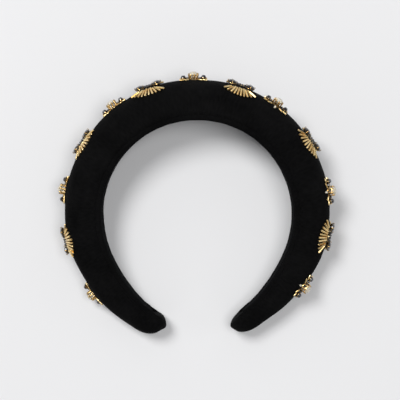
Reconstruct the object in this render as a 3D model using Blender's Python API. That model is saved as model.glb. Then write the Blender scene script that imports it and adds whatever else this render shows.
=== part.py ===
"""Padded velvet headband with thirteen sewn-on bead motifs, lying on its lower edge.

The band is built round its own loop: local X across the loop, local Y toward the
crown, local Z across the band's width. A parent empty then tips the whole headband
about X, so that the lower edges of the crown and of both legs rest on Z = 0.
"""
import math

import bpy
import bmesh
import numpy as np
from mathutils import Matrix, Vector

MM = 0.001

# ---- driving dimensions, in millimetres and degrees ----
INNER_RADIUS = 58.0        # crown arc of the face that touches the head
CROWN_HALF_ANGLE = 113.0   # the crown arc runs this far to each side
LEG_RADIUS = 100.0         # flatter arc of each leg, tangent to the crown arc
LEG_LENGTH = 57.0
CROWN_WIDTH = 40.0
TIP_WIDTH = 16.0
WIDTH_EASE = 20.0          # rounds the width's peak at the crown
CROWN_DEPTH = 24.5         # lining to crest of the padding
DEPTH_TAPER = 7.0
LEG_TAPER = 6.0
LEG_TAPER_START = 0.7      # share of the half length where the legs start to thin
TIP_ROUND = 10.0
TIP_END_SCALE = 0.25

LINING_THICKNESS = 0.9
LINING_SHARE = 0.30        # half width of each inner strip, as a share of the width
COVER_INNER = 1.2          # distance of the cover's inner face from the lining's face
COVER_WALL = 1.3
HEM_THICKNESS = 1.1
HEM_OPENING_SHARE = 0.22
CORE_INNER = 2.9
CORE_OUTER = 4.4
CORE_SHARE = 0.30
FOAM_INNER = 4.7
FOAM_GAP = 0.4
CAVITY_OPENING = 0.3       # half angle of the section that the inner slot takes up
SLOT_REACH = -2.0          # the cutter leaves the cover through its inner face
LAST_STEP = 2.0            # least distance from the last shared section to the tip
TIP_STEPS = (0.4, 0.7, 0.9, 1.0)
TIP_POWER = 2.2
CAVITY_TIP_SHARE = 0.7     # how much of the rounded tip each inner layer stops short of
INNER_TIP_SHARE = 0.8
LINING_TIP_SHARE = 0.55
WIDEST_SHARE = 0.36        # depth at which the section is widest
WIDEST_LEAST = 5.2
STATION_PITCH = 9.6        # distance between the sections that the soft layers share
OUTER_POWER = 2.2          # superellipse powers of the padded and the inner side
INNER_POWER = 4.0

REST_FLAT = 0.5            # depth of the flats where the velvet rests on a surface
LOOP_CENTRE_Y = -7.32      # centres the headband's box on the origin

# where each motif is sewn, -X leg first: its angle round the loop from the crown, how
# far it lies from the crest toward the upper edge, and how far it is turned, in degrees
CLUSTER_PLACES = ((-127.1, -0.8, 0.0), (-78.8, 0.6, 0.0), (-37.4, 4.0, 0.0), (-1.6, 5.4, 0.0),
                  (35.0, 7.1, 0.0), (79.1, 6.0, 0.0), (123.5, 5.4, 0.0))
SUNBURST_PLACES = ((-100.8, 0.8, 0.0), (-57.2, 2.4, 0.0), (-20.6, 6.1, 14.0),
                   (18.3, 8.2, -4.0), (56.0, 5.2, -4.0), (98.8, 4.1, 0.0))
SEW_GAP = 0.4              # clearance between the velvet and a motif's backing
CREST_REACH = 1.5          # radians of the section searched to either side of the crest
SLOPE_STEP = 0.5           # half span over which the surface's slope is taken

RAY_COUNT = 24
RAY_REACH = (11.4, 9.6)    # half length along the band and across it
RAY_START = (9.1, 3.7)     # where the bugle beads start, round the two cups
RAY_START_POWER = 4.0      # superellipse power of that inner edge
RAY_HEIGHT = 1.1
RAY_VALLEY = 0.55
RAY_NOTCH = 0.9            # reach of the valley between two bugles

STONE_OFFSET = 5.6
STONE_RADIUS = 2.55
SETTING_BASE = 0.3
SETTING_HEIGHT = 1.9
GIRDLE_CLEARANCE = 0.15    # a stone's girdle stands this far above its cup's lip
LIP_CLEARANCE = 0.3        # a cup's lip is this much wider than its stone
CUP_WALL = 0.25
CUP_FOOT = 0.55            # radius of a cup's foot and of its dished floor, as shares of the lip
CUP_FLOOR = 0.6
CUP_FLOOR_HEIGHT = 0.25
PAVILION = 0.42            # depth and end of a stone's pavilion, as shares of its radius
PAVILION_END = 0.4
TABLE_SHARE = 0.62
BEAD_RADIUS = 1.05
BEAD_PITCH = 2.0
THREAD_RADIUS = 0.35
THREAD_HEIGHT = 1.35
THREAD_TWIST = 0.2         # turns the facets of the thread off the motif's planes
THREAD_REACH = 3.6         # the thread ends just inside the two cups

CRYSTAL_RADIUS = 2.75
CRYSTAL_CUP_HEIGHT = 3.2
SIDE_STONE_OFFSET = 6.0
SIDE_STONE_RADIUS = 1.5
SIDE_CUP_HEIGHT = 0.9
STONE_CROWN = 0.34         # height of a stone's crown, as a share of its radius
CRYSTAL_CROWN = 0.42
SIDE_STONE_CROWN = 0.75
BACKING_HALF = (7.0, 3.4)
BACKING_THICKNESS = 0.5
PEARL_RADIUS = 1.0
PEARL_OFFSET = 3.9
PEARL_HEIGHT = 0.9
END_BUGLE_RADIUS = 0.6
END_BUGLE_HALF = 2.1
END_BUGLE_CENTRE = (6.7, 2.2, 0.75)
END_BUGLE_LEAN = 0.44      # radians

# ---- derived ----
CROWN_ARC = INNER_RADIUS * math.radians(CROWN_HALF_ANGLE)
HALF_LENGTH = CROWN_ARC + LEG_LENGTH


def start_scene():
    for obj in list(bpy.data.objects):
        bpy.data.objects.remove(obj, do_unlink=True)
    for name in ("headband", "cutters"):
        group = bpy.data.collections.new(name)
        bpy.context.scene.collection.children.link(group)


def material(name, colour, roughness, metallic=0.0):
    found = bpy.data.materials.get(name)
    if found:
        return found
    made = bpy.data.materials.new(name)
    made.use_nodes = True
    shader = made.node_tree.nodes["Principled BSDF"]
    shader.inputs["Base Color"].default_value = (*colour, 1.0)
    shader.inputs["Roughness"].default_value = roughness
    shader.inputs["Metallic"].default_value = metallic
    return made


def black_velvet():
    return material("black_velvet", (0.012, 0.012, 0.013), 0.95)


def black_lining():
    return material("black_lining", (0.016, 0.016, 0.017), 0.9)


def core_plastic():
    return material("core_plastic", (0.05, 0.05, 0.05), 0.5)


def foam():
    return material("foam", (0.62, 0.6, 0.55), 1.0)


def gold_bead():
    return material("gold_bead", (0.83, 0.58, 0.22), 0.25, 1.0)


def gold_setting():
    return material("gold_setting", (0.86, 0.64, 0.28), 0.2, 1.0)


def jet_stone():
    return material("jet_stone", (0.012, 0.012, 0.014), 0.06)


def clear_crystal():
    return material("clear_crystal", (0.86, 0.82, 0.72), 0.04)


# ---- the band's path and section ----
def on_path(s):
    """Point of the inner face at arc length s from the crown, and its outward normal."""
    side = -1.0 if s < 0 else 1.0
    run = abs(s)
    if run <= CROWN_ARC:
        turn = run / INNER_RADIUS
        point = Vector((math.sin(turn), math.cos(turn), 0.0)) * INNER_RADIUS
    else:
        joint = math.radians(CROWN_HALF_ANGLE)
        turn = joint + (run - CROWN_ARC) / LEG_RADIUS
        centre = Vector((math.sin(joint), math.cos(joint), 0.0)) * (INNER_RADIUS - LEG_RADIUS)
        point = centre + Vector((math.sin(turn), math.cos(turn), 0.0)) * LEG_RADIUS
    normal = Vector((side * math.sin(turn), math.cos(turn), 0.0))
    return Vector((side * point.x, point.y, 0.0)), normal


def band_width(s):
    def ease(run):
        return math.hypot(run, WIDTH_EASE) - WIDTH_EASE
    return CROWN_WIDTH - (CROWN_WIDTH - TIP_WIDTH) * ease(s) / ease(HALF_LENGTH)


def band_depth(s):
    share = abs(s) / HALF_LENGTH
    late = min(max((share - LEG_TAPER_START) / (1.0 - LEG_TAPER_START), 0.0), 1.0)
    return CROWN_DEPTH - DEPTH_TAPER * share ** 2 - LEG_TAPER * late * late * (3.0 - 2.0 * late)


def widest_depth(s):
    return max(WIDEST_SHARE * band_depth(s), WIDEST_LEAST)


def padded_outline(s, angles, inner, trim=0.0):
    """Points (z, n) of the section: a superellipse, squarer on its inner side."""
    half = band_width(s) / 2.0 - trim
    crest = band_depth(s) - trim
    middle = widest_depth(s)
    points = []
    for angle in angles:
        across = math.cos(angle)
        out = math.sin(angle)
        power = 2.0 / (OUTER_POWER if out > 0 else INNER_POWER)
        height = crest - middle if out > 0 else middle - inner
        z = math.copysign(abs(across) ** power, across) * half
        n = middle + math.copysign(abs(out) ** power, out) * height
        points.append((z, n))
    return points


def turn_angles(count, gap=0.0):
    """Angles once round the section from its inner middle, leaving out a gap there."""
    first = -math.pi / 2 + gap
    span = 2.0 * math.pi - 2.0 * gap
    steps = count if gap == 0.0 else count - 1
    return [first + span * i / steps for i in range(count)]


def stations(end, rounded=0.0):
    """Arc lengths from tip to tip on a shared pitch, closer where the tips round off."""
    straight = end - rounded
    half = [i * STATION_PITCH for i in range(int((straight - LAST_STEP) / STATION_PITCH) + 1)]
    half.append(straight)
    if rounded:
        half += [straight + rounded * share for share in TIP_STEPS]
    return [-s for s in reversed(half[1:])] + half


def tip_scale(s):
    past = (abs(s) - (HALF_LENGTH - TIP_ROUND)) / TIP_ROUND
    if past <= 0.0:
        return 1.0
    return max(math.sqrt(max(1.0 - past ** TIP_POWER, 0.0)), TIP_END_SCALE)


def place(s, z, n):
    point, normal = on_path(s)
    return (point + normal * n + Vector((0.0, 0.0, z))) * MM


# ---- mesh helpers ----
def loft(name, rings, group, finish, annular=False):
    """A closed skin through rings of equal length: capped, or turned back on itself."""
    bm = bmesh.new()
    loops = [[bm.verts.new(point) for point in ring] for ring in rings]
    for near, far in zip(loops, loops[1:] + loops[:1] if annular else loops[1:]):
        for i in range(len(near)):
            j = (i + 1) % len(near)
            bm.faces.new((near[i], near[j], far[j], far[i]))
    if not annular:
        bm.faces.new(list(reversed(loops[0])))
        bm.faces.new(loops[-1])
    bmesh.ops.recalc_face_normals(bm, faces=bm.faces)
    return to_object(name, bm, group, finish)


def to_object(name, bm, group, finish):
    mesh = bpy.data.meshes.new(name)
    bm.to_mesh(mesh)
    bm.free()
    mesh.materials.append(finish)
    obj = bpy.data.objects.new(name, mesh)
    bpy.data.collections[group].objects.link(obj)
    return obj


def smooth(obj, degrees=40.0):
    obj.data.shade_smooth()
    obj.data.set_sharp_from_angle(angle=math.radians(degrees))


def make_cutter(obj):
    obj.hide_render = True
    obj.display_type = "WIRE"


def subtract(obj, cutter):
    cut = obj.modifiers.new("cut_" + cutter.name, "BOOLEAN")
    cut.operation = "DIFFERENCE"
    cut.object = cutter


def turned(bm, profile, sides, centre=(0.0, 0.0), start=0.0):
    """A solid of revolution about the local W axis, from a profile of (radius, height)."""
    loops = []
    for radius, height in profile:
        ring = []
        for i in range(sides):
            turn = start + 2.0 * math.pi * i / sides
            at = (centre[0] + radius * math.cos(turn), centre[1] + radius * math.sin(turn), height)
            ring.append(bm.verts.new(at))
        loops.append(ring)
    for low, high in zip(loops, loops[1:]):
        for i in range(sides):
            j = (i + 1) % sides
            bm.faces.new((low[i], low[j], high[j], high[i]))
    bm.faces.new(list(reversed(loops[0])))
    bm.faces.new(loops[-1])


# ---- the soft band and its core ----
def make_cover():
    angles = turn_angles(20)
    rings = []
    for s in stations(HALF_LENGTH, TIP_ROUND):
        scale = tip_scale(s)
        centre = (COVER_INNER + band_depth(s)) / 2.0
        outline = padded_outline(s, angles, COVER_INNER)
        rings.append([place(s, z * scale, centre + (n - centre) * scale) for z, n in outline])
    cover = loft("velvet_cover", rings, "headband", black_velvet())
    subtract(cover, make_cavity())
    subtract(cover, make_rest_flat())
    smooth(cover)
    return cover


def make_cavity():
    """Room for the foam and the core, open along the inner face between the two hems."""
    floor = COVER_INNER + HEM_THICKNESS
    rings = []
    for s in stations(HALF_LENGTH - TIP_ROUND * CAVITY_TIP_SHARE):
        slot = HEM_OPENING_SHARE * band_width(s)
        outline = padded_outline(s, turn_angles(15, CAVITY_OPENING), floor, COVER_WALL)
        outline += [(-slot, floor), (-slot, SLOT_REACH), (slot, SLOT_REACH), (slot, floor)]
        rings.append([place(s, z, n) for z, n in outline])
    cavity = loft("cover_cavity", rings, "cutters", black_velvet())
    make_cutter(cavity)
    return cavity


def make_rest_flat():
    """A block below the resting surface, which flattens the velvet where it touches."""
    bpy.ops.mesh.primitive_cube_add(size=1.0, location=(0.0, 0.0, -0.01))
    block = bpy.context.object
    block.name = "resting_surface"
    block.data.transform(Matrix.Diagonal((0.3, 0.3, 0.02, 1.0)))
    for group in list(block.users_collection):
        group.objects.unlink(block)
    bpy.data.collections["cutters"].objects.link(block)
    make_cutter(block)
    return block


def make_foam():
    rings = []
    for s in stations(HALF_LENGTH - TIP_ROUND * INNER_TIP_SHARE):
        outline = padded_outline(s, turn_angles(15, CAVITY_OPENING), FOAM_INNER, COVER_WALL + FOAM_GAP)
        rings.append([place(s, z, n) for z, n in outline])
    pad = loft("foam_pad", rings, "headband", foam())
    smooth(pad)
    return pad


def make_core():
    rings = []
    for s in stations(HALF_LENGTH - TIP_ROUND * INNER_TIP_SHARE):
        half = CORE_SHARE * band_width(s)
        outline = ((-half, CORE_INNER), (half, CORE_INNER), (half, CORE_OUTER), (-half, CORE_OUTER))
        rings.append([place(s, z, n) for z, n in outline])
    core = loft("spring_core", rings, "headband", core_plastic())
    smooth(core)
    return core


def make_lining():
    rings = []
    for s in stations(HALF_LENGTH - TIP_ROUND * LINING_TIP_SHARE):
        half = LINING_SHARE * band_width(s)
        edge = LINING_THICKNESS / 2.0
        outline = ((-half + edge, 0.0), (half - edge, 0.0), (half, edge), (half - edge, 2.0 * edge),
                   (-half + edge, 2.0 * edge), (-half, edge))
        rings.append([place(s, z, n) for z, n in outline])
    lining = loft("inner_lining", rings, "headband", black_lining())
    smooth(lining)
    return lining


# ---- where a motif sits ----
def crest(s):
    point, normal = on_path(s)
    return point + normal * band_depth(s)


def station_at(angle):
    """Arc length whose crest lies at this angle round the loop."""
    runs = np.linspace(-HALF_LENGTH, HALF_LENGTH, 401)
    around = [math.degrees(math.atan2(crest(s).x, crest(s).y)) for s in runs]
    return float(np.interp(angle, around, runs))


def on_cover(s, v):
    """Point of the padded surface v across from the crest, and the outward normal there."""
    angles = [math.pi / 2 - math.copysign(CREST_REACH, v) * i / 60 for i in range(61)]
    outline = padded_outline(s, angles, COVER_INNER)
    zs = [z for z, _ in outline]
    ns = [n for _, n in outline]
    runs = [0.0]
    for (z0, n0), (z1, n1) in zip(outline, outline[1:]):
        runs.append(runs[-1] + math.hypot(z1 - z0, n1 - n0))
    near = max(abs(v) - SLOPE_STEP, 0.0)
    dz = float(np.interp(abs(v) + SLOPE_STEP, runs, zs) - np.interp(near, runs, zs))
    dn = float(np.interp(abs(v) + SLOPE_STEP, runs, ns) - np.interp(near, runs, ns))
    point, normal = on_path(s)
    point = point + normal * float(np.interp(abs(v), runs, ns))
    point.z = float(np.interp(abs(v), runs, zs))
    along = (crest(s - 1.0) - crest(s + 1.0)).normalized()
    flat_out = along.cross(Vector((0.0, 0.0, 1.0)))
    out = flat_out * abs(dz) + Vector((0.0, 0.0, -dn if v >= 0 else dn))
    return point, out.normalized()


def turned_about(u, v, degrees):
    """(u, v) in a motif's own axes, turned so that its V axis leans toward U."""
    turn = math.radians(degrees)
    return u * math.cos(turn) + v * math.sin(turn), v * math.cos(turn) - u * math.sin(turn)


def stand_on_cover(mesh, s, across, turn):
    """Move a mesh drawn in (U, V, W) millimetres onto the cover, rigidly."""
    origin, out = on_cover(s, across)
    along = crest(s - 1.0) - crest(s + 1.0)
    along = (along - out * along.dot(out)).normalized()
    over = out.cross(along)
    for vert in mesh.vertices:
        u, v = turned_about(vert.co.x, vert.co.y, turn)
        vert.co = (origin + along * u + over * v + out * (vert.co.z + SEW_GAP)) * MM


def wrap_on_cover(mesh, s, across, turn):
    """Bend a mesh drawn in (U, V, W) millimetres over the padded surface."""
    bend = INNER_RADIUS if abs(s) < CROWN_ARC else LEG_RADIUS
    for vert in mesh.vertices:
        u, v = turned_about(vert.co.x, vert.co.y, turn)
        point, out = on_cover(s - u * bend / (bend + band_depth(s)), across + v)
        vert.co = (point + out * (vert.co.z + SEW_GAP)) * MM


# ---- sunburst motifs ----
def outer_ring(ridge_height, valley_height):
    ring = []
    for i in range(2 * RAY_COUNT):
        turn = math.pi * i / RAY_COUNT
        share = RAY_NOTCH if i % 2 else 1.0
        height = valley_height if i % 2 else ridge_height
        ring.append((RAY_REACH[0] * share * math.cos(turn), RAY_REACH[1] * share * math.sin(turn), height))
    return ring


def inner_ring(ridge_height, valley_height):
    ring = []
    for i in range(2 * RAY_COUNT):
        turn = math.pi * i / RAY_COUNT
        u = math.copysign(abs(math.cos(turn)) ** (2.0 / RAY_START_POWER), math.cos(turn))
        v = math.copysign(abs(math.sin(turn)) ** (2.0 / RAY_START_POWER), math.sin(turn))
        ring.append((RAY_START[0] * u, RAY_START[1] * v, valley_height if i % 2 else ridge_height))
    return ring


def make_rays(name, s, across, turn):
    """The gold bugle beads, sewn side by side round the two cups."""
    rings = (inner_ring(0.0, 0.0),
             outer_ring(0.0, 0.0),
             outer_ring(RAY_HEIGHT, RAY_VALLEY),
             inner_ring(RAY_HEIGHT, RAY_VALLEY))
    rays = loft(name, rings, "headband", gold_bead(), annular=True)
    wrap_on_cover(rays.data, s, across, turn)
    smooth(rays, 30.0)
    return rays


def cup_profile(radius, base, height):
    """A flared setting with a dished seat for its stone."""
    lip = radius + LIP_CLEARANCE
    return ((lip * CUP_FOOT, base), (lip + CUP_WALL, base + height), (lip, base + height),
            (lip * CUP_FLOOR, base + height * CUP_FLOOR_HEIGHT))


def stone_profile(radius, girdle, crown):
    """Pavilion, girdle and table of a faceted stone that sits in its cup."""
    return ((radius * PAVILION_END, girdle - radius * PAVILION), (radius, girdle),
            (radius * TABLE_SHARE, girdle + radius * crown))


def make_stone(name, place_on, offset, radius, girdle, crown, finish):
    bm = bmesh.new()
    turned(bm, stone_profile(radius, girdle, crown), 8, (offset, 0.0), math.pi / 8)
    bmesh.ops.recalc_face_normals(bm, faces=bm.faces)
    stone = to_object(name, bm, "headband", finish)
    stand_on_cover(stone.data, *place_on)
    return stone


def joined(name, pieces, finish):
    """One body from overlapping solids: unions them and drops the originals."""
    first = pieces[0]
    for piece in pieces[1:]:
        union = first.modifiers.new("join_" + piece.name, "BOOLEAN")
        union.operation = "UNION"
        union.object = piece
    bpy.context.view_layer.update()
    seen = first.evaluated_get(bpy.context.evaluated_depsgraph_get())
    mesh = bpy.data.meshes.new_from_object(seen)
    mesh.name = name
    mesh.materials.clear()
    mesh.materials.append(finish)
    for piece in pieces:
        bpy.data.objects.remove(piece, do_unlink=True)
    return mesh


def scratch(name, build):
    bm = bmesh.new()
    build(bm)
    bmesh.ops.recalc_face_normals(bm, faces=bm.faces)
    return to_object(name, bm, "cutters", gold_setting())


def bead_thread(bm):
    turned(bm, ((THREAD_RADIUS, -THREAD_REACH), (THREAD_RADIUS, THREAD_REACH)), 6, start=THREAD_TWIST)
    bm.transform(Matrix.Translation((0.0, 0.0, THREAD_HEIGHT)) @ Matrix.Rotation(math.pi / 2, 4, "Y"))


def setting_mesh():
    """Two cups, and three small beads on the thread between them."""
    pieces = []
    for side in (-1.0, 1.0):
        cup = cup_profile(STONE_RADIUS, SETTING_BASE, SETTING_HEIGHT)
        pieces.append(scratch("cup", lambda bm: turned(bm, cup, 8, (side * STONE_OFFSET, 0.0))))
    pieces.append(scratch("thread", bead_thread))
    for step in (-1.0, 0.0, 1.0):
        centre = Matrix.Translation((step * BEAD_PITCH, 0.0, THREAD_HEIGHT))
        pieces.append(scratch("bead", lambda bm: bmesh.ops.create_icosphere(
            bm, subdivisions=1, radius=BEAD_RADIUS, matrix=centre)))
    return joined("sunburst_setting", pieces, gold_setting())


def make_sunbursts():
    template = setting_mesh()
    girdle = SETTING_BASE + SETTING_HEIGHT + GIRDLE_CLEARANCE
    for index, (angle, across, turn) in enumerate(SUNBURST_PLACES, start=1):
        here = (station_at(angle), across, turn)
        label = f"sunburst_{index}_"
        make_rays(label + "bugles", *here)
        setting = bpy.data.objects.new(label + "setting", template.copy())
        bpy.data.collections["headband"].objects.link(setting)
        stand_on_cover(setting.data, *here)
        smooth(setting, 30.0)
        for letter, side in (("a", -1.0), ("b", 1.0)):
            make_stone(f"{label}stone_{letter}", here, side * STONE_OFFSET, STONE_RADIUS, girdle,
                       STONE_CROWN, jet_stone())


# ---- small cluster motifs ----
def oval_plate(bm):
    turned(bm, ((1.0, 0.0), (1.0, BACKING_THICKNESS)), 12)
    bmesh.ops.scale(bm, vec=(BACKING_HALF[0], BACKING_HALF[1], 1.0), verts=bm.verts)


def end_bugle(bm, side, wing):
    turned(bm, ((END_BUGLE_RADIUS, -END_BUGLE_HALF), (END_BUGLE_RADIUS, END_BUGLE_HALF)), 5)
    lie_down = Matrix.Rotation(math.pi / 2, 4, "Y")
    aim = Matrix.Rotation(side * wing * END_BUGLE_LEAN, 4, "Z")
    u, v, w = END_BUGLE_CENTRE
    bm.transform(Matrix.Translation((side * u, wing * v, w)) @ aim @ lie_down)


def cluster_mesh():
    """The cluster's backing with its crystal cup, side cups, end bugles and two beads."""
    pieces = [scratch("backing", oval_plate)]
    tall = cup_profile(CRYSTAL_RADIUS, SETTING_BASE, CRYSTAL_CUP_HEIGHT)
    pieces.append(scratch("crystal_cup", lambda bm: turned(bm, tall, 8)))
    low = cup_profile(SIDE_STONE_RADIUS, SETTING_BASE, SIDE_CUP_HEIGHT)
    for side in (-1.0, 1.0):
        pieces.append(scratch("side_cup", lambda bm: turned(bm, low, 6, (side * SIDE_STONE_OFFSET, 0.0))))
        bead_centre = Matrix.Translation((0.0, side * PEARL_OFFSET, PEARL_HEIGHT))
        pieces.append(scratch("pearl", lambda bm: bmesh.ops.create_icosphere(
            bm, subdivisions=1, radius=PEARL_RADIUS, matrix=bead_centre)))
        for wing in (-1.0, 1.0):
            pieces.append(scratch("end_bugle", lambda bm: end_bugle(bm, side, wing)))
    return joined("cluster_base", pieces, gold_setting())


def make_clusters():
    template = cluster_mesh()
    lip = SETTING_BASE + GIRDLE_CLEARANCE
    for index, (angle, across, turn) in enumerate(CLUSTER_PLACES, start=1):
        here = (station_at(angle), across, turn)
        label = f"cluster_{index}_"
        base = bpy.data.objects.new(label + "base", template.copy())
        bpy.data.collections["headband"].objects.link(base)
        stand_on_cover(base.data, *here)
        smooth(base, 30.0)
        make_stone(label + "crystal", here, 0.0, CRYSTAL_RADIUS, lip + CRYSTAL_CUP_HEIGHT,
                   CRYSTAL_CROWN, clear_crystal())
        for letter, side in (("a", -1.0), ("b", 1.0)):
            make_stone(f"{label}stone_{letter}", here, side * SIDE_STONE_OFFSET, SIDE_STONE_RADIUS,
                       lip + SIDE_CUP_HEIGHT, SIDE_STONE_CROWN, jet_stone())


# ---- how the headband lies ----
def rest_tilt():
    """The tilt that sets the legs' lower edges down level with the crown's."""
    crown = INNER_RADIUS + widest_depth(0.0)
    slopes = []
    for s in stations(HALF_LENGTH)[-8:]:
        point, normal = on_path(s)
        back = (point + normal * widest_depth(s)).y
        slopes.append(math.atan2((CROWN_WIDTH - band_width(s)) / 2.0, crown - back))
    return min(slopes)


def rest_lift(tilt):
    """The height that leaves the velvet REST_FLAT below the surface before it is flattened."""
    lowest = 0.0
    for s in stations(HALF_LENGTH, TIP_ROUND):
        for z, n in padded_outline(s, turn_angles(60), COVER_INNER):
            y = place(s, z, n).y / MM
            lowest = min(lowest, y * math.sin(tilt) + z * math.cos(tilt))
    return -lowest - REST_FLAT


def main():
    start_scene()
    make_cover()
    make_foam()
    make_core()
    make_lining()
    make_sunbursts()
    make_clusters()
    loop = bpy.data.objects.new("loop_frame", None)
    bpy.data.collections["headband"].objects.link(loop)
    loop.rotation_euler = (rest_tilt(), 0.0, 0.0)
    loop.location = Vector((0.0, LOOP_CENTRE_Y, rest_lift(rest_tilt()))) * MM
    for obj in bpy.data.objects:
        if obj.type == "MESH" and obj.name != "resting_surface":
            obj.parent = loop
    bpy.context.view_layer.update()


main()
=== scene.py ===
import math
import bpy
import bmesh
import numpy as np
from mathutils import Matrix, Vector
from mathutils.bvhtree import BVHTree


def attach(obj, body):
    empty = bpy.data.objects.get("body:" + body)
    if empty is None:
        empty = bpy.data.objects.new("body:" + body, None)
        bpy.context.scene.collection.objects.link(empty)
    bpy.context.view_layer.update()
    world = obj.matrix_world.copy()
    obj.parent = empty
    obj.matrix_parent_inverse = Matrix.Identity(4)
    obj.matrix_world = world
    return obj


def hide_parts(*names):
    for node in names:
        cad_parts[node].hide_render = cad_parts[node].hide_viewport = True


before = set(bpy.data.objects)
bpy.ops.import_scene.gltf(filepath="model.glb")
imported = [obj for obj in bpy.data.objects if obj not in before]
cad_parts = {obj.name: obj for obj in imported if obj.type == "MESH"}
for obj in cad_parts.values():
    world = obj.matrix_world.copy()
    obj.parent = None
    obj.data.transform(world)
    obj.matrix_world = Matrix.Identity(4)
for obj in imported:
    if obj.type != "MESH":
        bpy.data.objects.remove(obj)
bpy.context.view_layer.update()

mm = 0.001

# the band: an arc over the crown, flatter legs, and a padded section (mm and degrees)
band = {
    "innerRadius": 58.0, "crownHalfAngle": 113.0, "legRadius": 100.0, "legLength": 57.0,
    "crownWidth": 40.0, "tipWidth": 16.0, "widthEase": 20.0,
    "crownDepth": 24.5, "depthTaper": 7.0, "legTaper": 6.0, "legTaperStart": 0.7,
    "innerFace": 1.2, "widestShare": 0.36, "widestLeast": 5.2,
    "outerPower": 2.2, "innerPower": 4.0,
    "tilt": 4.6707, "lift": 14.138, "centreY": -7.32,
}
crownArc = band["innerRadius"] * math.radians(band["crownHalfAngle"])
halfLength = crownArc + band["legLength"]
toWorld = (Matrix.Translation(Vector((0.0, band["centreY"], band["lift"])) * mm)
           @ Matrix.Rotation(math.radians(band["tilt"]), 4, "X"))


def onPath(s):
    side = -1.0 if s < 0 else 1.0
    run = abs(s)
    if run <= crownArc:
        turn = run / band["innerRadius"]
        point = Vector((math.sin(turn), math.cos(turn), 0.0)) * band["innerRadius"]
    else:
        joint = math.radians(band["crownHalfAngle"])
        turn = joint + (run - crownArc) / band["legRadius"]
        offset = band["innerRadius"] - band["legRadius"]
        point = Vector((math.sin(joint), math.cos(joint), 0.0)) * offset
        point += Vector((math.sin(turn), math.cos(turn), 0.0)) * band["legRadius"]
    return Vector((side * point.x, point.y, 0.0)), Vector((side * math.sin(turn), math.cos(turn), 0.0))


def bandWidth(s):
    ease = band["widthEase"]
    share = (math.hypot(s, ease) - ease) / (math.hypot(halfLength, ease) - ease)
    return band["crownWidth"] - (band["crownWidth"] - band["tipWidth"]) * share


def bandDepth(s):
    share = min(abs(s) / halfLength, 1.0)
    late = max((share - band["legTaperStart"]) / (1.0 - band["legTaperStart"]), 0.0)
    return (band["crownDepth"] - band["depthTaper"] * share ** 2
            - band["legTaper"] * late * late * (3.0 - 2.0 * late))


def sectionPoint(s, angle, trim=0.0):
    # (z, n) of the padded section; angle 0 is the upper edge, 90 degrees the crest
    half = bandWidth(s) / 2.0 - trim
    middle = max(band["widestShare"] * bandDepth(s), band["widestLeast"])
    across, out = math.cos(angle), math.sin(angle)
    power = 2.0 / (band["outerPower"] if out > 0 else band["innerPower"])
    rise = bandDepth(s) - trim - middle if out > 0 else middle - band["innerFace"]
    z = math.copysign(abs(across) ** power, across) * half
    return z, middle + math.copysign(abs(out) ** power, out) * rise


def place(s, z, n):
    point, normal = onPath(s)
    return toWorld @ ((point + normal * n + Vector((0.0, 0.0, z))) * mm)


def newObject(name, mesh):
    obj = bpy.data.objects.new(name, mesh)
    bpy.context.scene.collection.objects.link(obj)
    return obj


def meshFrom(name, bm):
    mesh = bpy.data.meshes.new(name)
    bm.to_mesh(mesh)
    bm.free()
    return mesh


def frozen(obj):
    # the evaluated object as a plain mesh, with its modifiers gone
    bpy.context.view_layer.update()
    mesh = bpy.data.meshes.new_from_object(obj.evaluated_get(bpy.context.evaluated_depsgraph_get()))
    obj.modifiers.clear()
    old = obj.data
    obj.data = mesh
    bpy.data.meshes.remove(old)
    return obj


def setFinish(obj, finish):
    obj.data.materials.clear()
    obj.data.materials.append(finish)


def shade(obj, degrees=40.0):
    obj.data.shade_smooth()
    obj.data.set_sharp_from_angle(angle=math.radians(degrees))


# finishes
def newFinish(name, colour, roughness, constants=None):
    finish = bpy.data.materials.new(name)
    finish.use_nodes = True
    nodes = finish.node_tree.nodes
    shader = nodes["Principled BSDF"]
    shader.inputs["Base Color"].default_value = (*colour, 1.0)
    shader.inputs["Roughness"].default_value = roughness
    for socket, value in (constants or {}).items():
        shader.inputs[socket].default_value = value
    return finish


def nodeIn(finish, kind, **settings):
    node = finish.node_tree.nodes.new(kind)
    for key, value in settings.items():
        if hasattr(node, key):
            setattr(node, key, value)
        else:
            node.inputs[key].default_value = value
    return node


def link(finish, source, target):
    finish.node_tree.links.new(source, target)


def noiseOn(finish, scale, detail=3.0, stretch=(1.0, 1.0, 1.0), source="Object"):
    coords = nodeIn(finish, "ShaderNodeTexCoord")
    mapping = nodeIn(finish, "ShaderNodeMapping", Scale=stretch)
    noise = nodeIn(finish, "ShaderNodeTexNoise", Scale=scale, Detail=detail)
    link(finish, coords.outputs[source], mapping.inputs["Vector"])
    link(finish, mapping.outputs["Vector"], noise.inputs["Vector"])
    return noise


def colourBetween(finish, factor, low, high, lowAt=0.35, highAt=0.65):
    ramp = nodeIn(finish, "ShaderNodeValToRGB")
    ramp.color_ramp.elements[0].position = lowAt
    ramp.color_ramp.elements[1].position = highAt
    ramp.color_ramp.elements[0].color = (*low, 1.0)
    ramp.color_ramp.elements[1].color = (*high, 1.0)
    link(finish, factor, ramp.inputs["Fac"])
    link(finish, ramp.outputs["Color"], finish.node_tree.nodes["Principled BSDF"].inputs["Base Color"])
    return ramp


def roughnessBetween(finish, factor, low, high):
    spread = nodeIn(finish, "ShaderNodeMapRange")
    spread.inputs["To Min"].default_value = low
    spread.inputs["To Max"].default_value = high
    link(finish, factor, spread.inputs["Value"])
    link(finish, spread.outputs["Result"], finish.node_tree.nodes["Principled BSDF"].inputs["Roughness"])


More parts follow.
